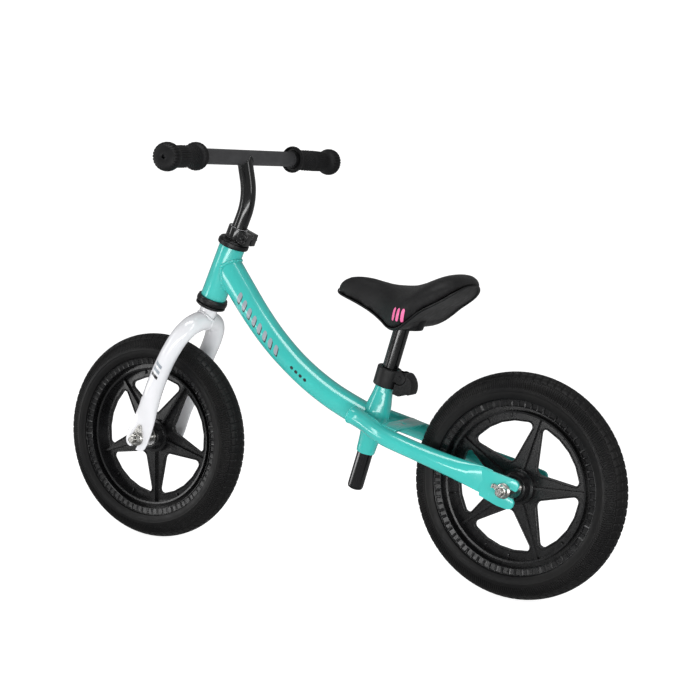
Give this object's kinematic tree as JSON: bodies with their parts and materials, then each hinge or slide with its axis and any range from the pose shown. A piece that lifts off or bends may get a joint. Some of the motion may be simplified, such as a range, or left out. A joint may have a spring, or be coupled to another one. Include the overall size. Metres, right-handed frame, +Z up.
{
  "type": "balance bike",
  "caption": "Balance bike with a curved turquoise frame, white fork, moulded spoke wheels, foam tyres, and a height-adjustable saddle and handlebar",
  "frame": {"origin": "on the ground, midway between the two axles, in the middle plane", "axes": "+X forward, +Y to the rider's left, +Z up"},
  "size_m": [0.901, 0.4392, 0.5896],
  "materials": {
    "frame_paint": "gloss turquoise paint",
    "fork_paint": "gloss white paint",
    "stem_black": "gloss black paint",
    "bar_matte": "matte charcoal paint",
    "headset_black": "satin black",
    "bearing_steel": "ground steel",
    "zinc": "zinc plated",
    "clamp_plastic": "fine textured black plastic",
    "saddle_plastic": "satin black moulded plastic",
    "saddle_skin": "fine grained black synthetic leather",
    "grip_rubber": "ribbed black rubber",
    "rim_plastic": "satin black moulded plastic",
    "tyre_foam": "matte black foam with a finned and blocked tread"
  },
  "bodies": {
    "frame": {"head_tube": "frame_paint", "main_tube": "frame_paint", "seat_tube": "frame_paint", "chainstay_left": "frame_paint", "chainstay_right": "frame_paint", "rear_dropout_left": "frame_paint", "rear_dropout_right": "frame_paint", "stay_bridge": "frame_paint", "headset_cup_lower": "headset_black", "headset_cup_upper": "headset_black", "headset_bearings": "bearing_steel", "seat_clamp": "clamp_plastic", "clamp_pin": "zinc", "rear_axle": "zinc", "rear_axle_nuts": "zinc", "rear_tab_washers": "zinc", "rear_axle_spacers": "zinc", "rear_hub_sleeve": "zinc"},
    "lever": {"clamp_lever": "clamp_plastic"},
    "rear_wheel": {"rear_tyre": "tyre_foam", "rear_rim": "rim_plastic", "rear_hub_bearings": "bearing_steel"},
    "fork": {"fork_steerer": "fork_paint", "fork_leg_left": "fork_paint", "fork_leg_right": "fork_paint", "crown_race": "headset_black", "headset_top_cap": "headset_black", "stem_clamp": "stem_black", "stem_clamp_bolt": "zinc", "front_axle": "zinc", "front_axle_nuts": "zinc", "front_tab_washers": "zinc", "front_axle_spacers": "zinc", "front_hub_sleeve": "zinc"},
    "front_wheel": {"front_tyre": "tyre_foam", "front_rim": "rim_plastic", "front_hub_bearings": "bearing_steel"},
    "bars": {"stem": "stem_black", "handlebar": "bar_matte", "grip_left": "grip_rubber", "grip_right": "grip_rubber", "stem_plug": "clamp_plastic"},
    "saddle": {"seat_post": "stem_black", "seat_post_plug": "clamp_plastic", "saddle_base": "saddle_plastic", "saddle_cover": "saddle_skin", "saddle_bolt": "zinc"}
  },
  "joints": [
    {"name": "steering", "type": "hinge", "parent": "frame", "child": "fork", "pos_m": [0.18913, 0, 0.40319], "axis": [-0.3714, 0, 0.9285], "continuous": true},
    {"name": "bar_height", "type": "slide", "parent": "fork", "child": "bars", "axis": [-0.3714, 0, 0.9285], "range_m": [0, 0.05]},
    {"name": "front_wheel_turn", "type": "hinge", "parent": "fork", "child": "front_wheel", "pos_m": [0.298, 0, 0.1525], "axis": [0, 1, 0], "continuous": true},
    {"name": "rear_wheel_turn", "type": "hinge", "parent": "frame", "child": "rear_wheel", "pos_m": [-0.298, 0, 0.1525], "axis": [0, 1, 0], "continuous": true},
    {"name": "saddle_height", "type": "slide", "parent": "frame", "child": "saddle", "axis": [-0.2689, 0, 0.9632], "range_m": [-0.035, 0.05]},
    {"name": "clamp_lever_swing", "type": "hinge", "parent": "frame", "child": "lever", "pos_m": [-0.11538, 0, 0.27889], "axis": [0, 1, 0], "range_deg": [0, 75]}
  ]
}
